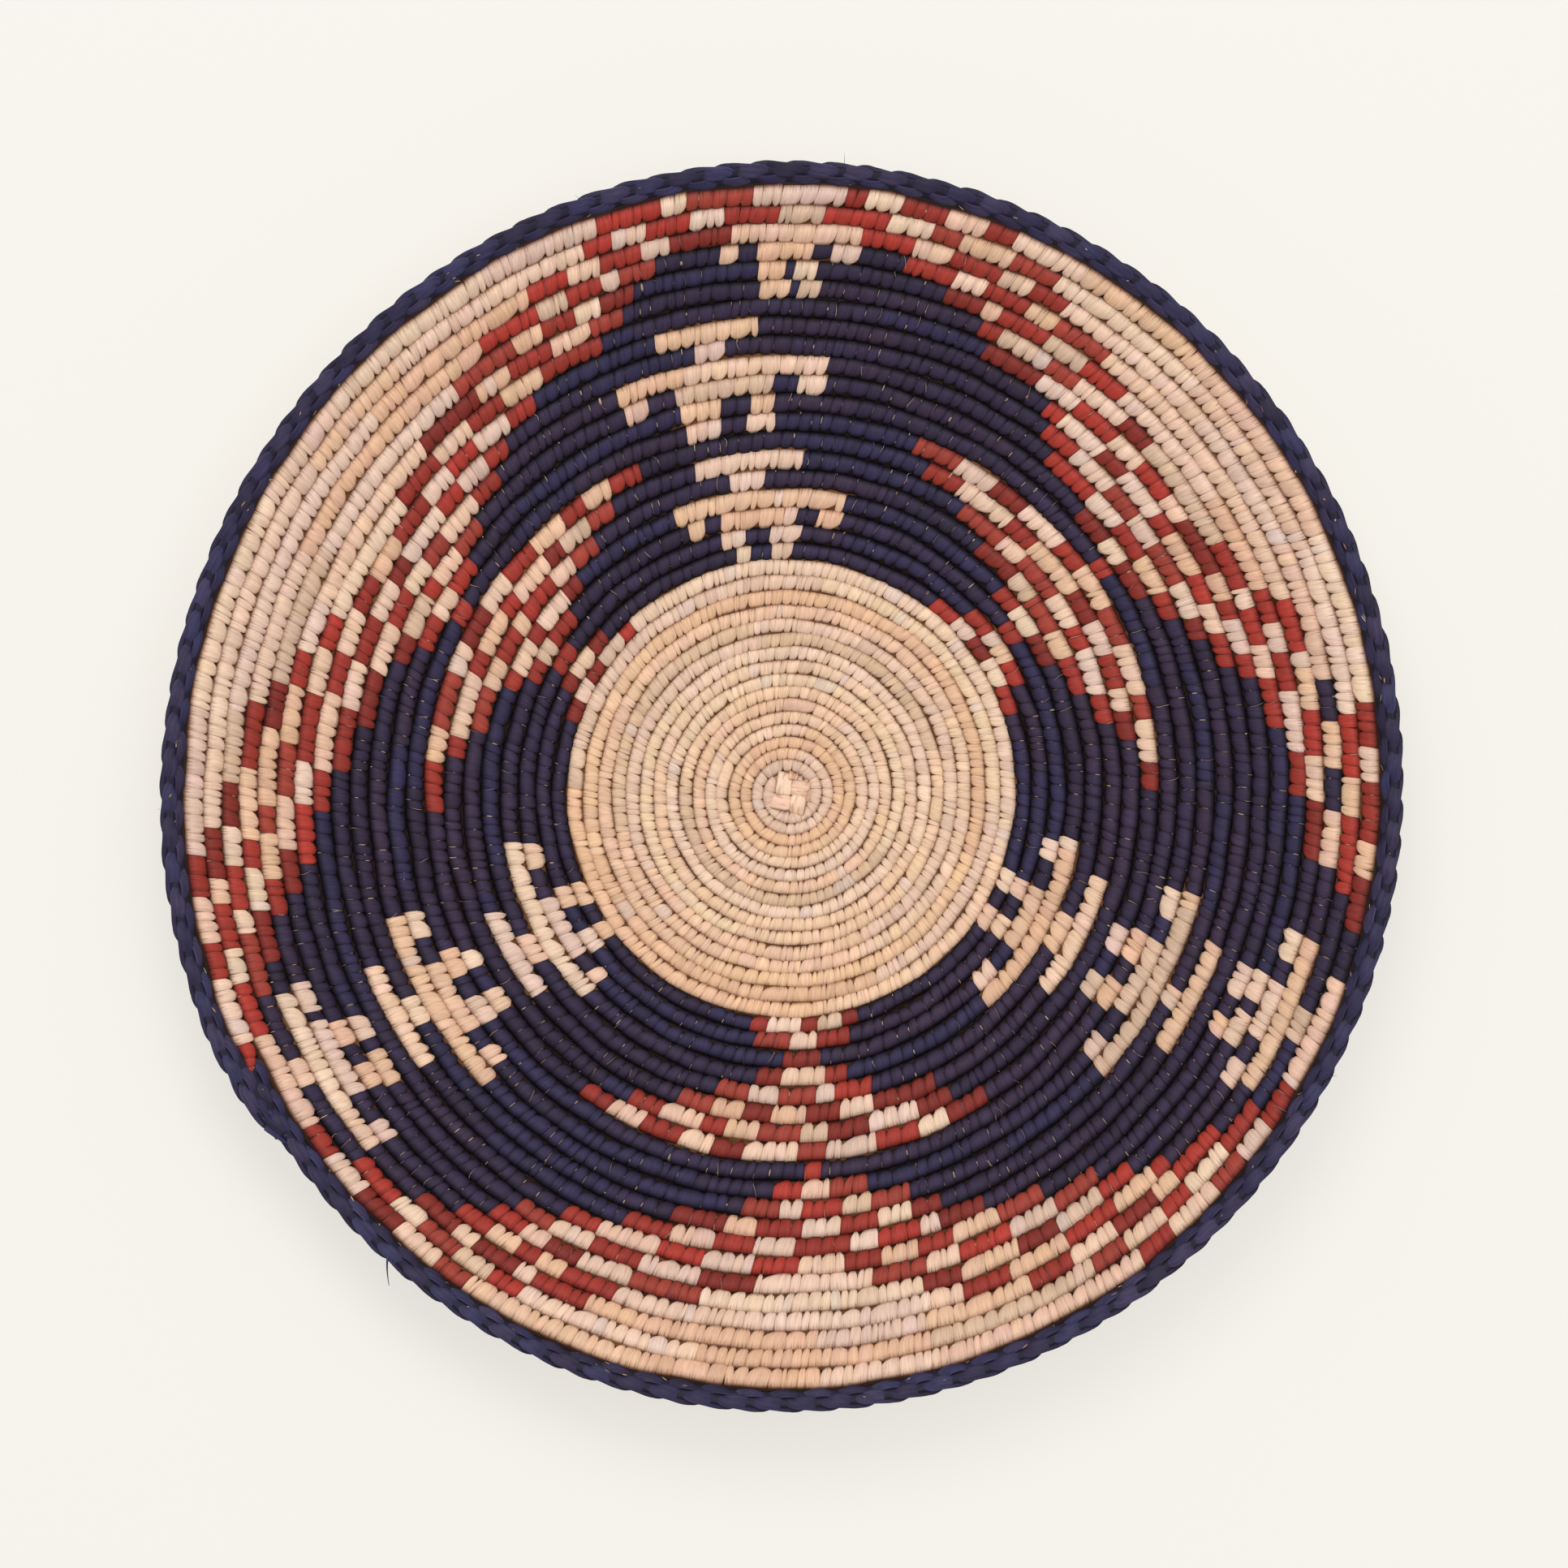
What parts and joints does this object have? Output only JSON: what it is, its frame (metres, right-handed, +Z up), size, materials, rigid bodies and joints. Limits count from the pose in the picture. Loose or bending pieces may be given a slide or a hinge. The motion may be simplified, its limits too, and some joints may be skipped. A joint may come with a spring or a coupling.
{
  "type": "coiled wall basket",
  "caption": "Round coiled and stitched tray basket with a flat centre, a shallow patterned dish and a plaited rim, hung flat on a wall.",
  "frame": {"origin": "middle of the start knot's flat back, on the wall plane", "axes": "+Y into the wall, the front looks along -Y, +Z up, +X to the right of someone who faces the basket"},
  "size_m": [0.3977, 0.0408, 0.4003],
  "materials": {
    "natural_leaf": "undyed split palm leaf, soft satin",
    "indigo_leaf": "blue black dyed leaf, soft satin",
    "red_leaf": "brick red dyed leaf, soft satin",
    "core_grass": "dry grass core, matt"
  },
  "bodies": {
    "root": {"start_knot": "natural_leaf", "centre_coil": "natural_leaf", "field_coil": "indigo_leaf", "rim_plait_strand_1": "indigo_leaf", "rim_plait_strand_2": "indigo_leaf", "rim_plait_strand_3": "indigo_leaf"}
  },
  "joints": []
}
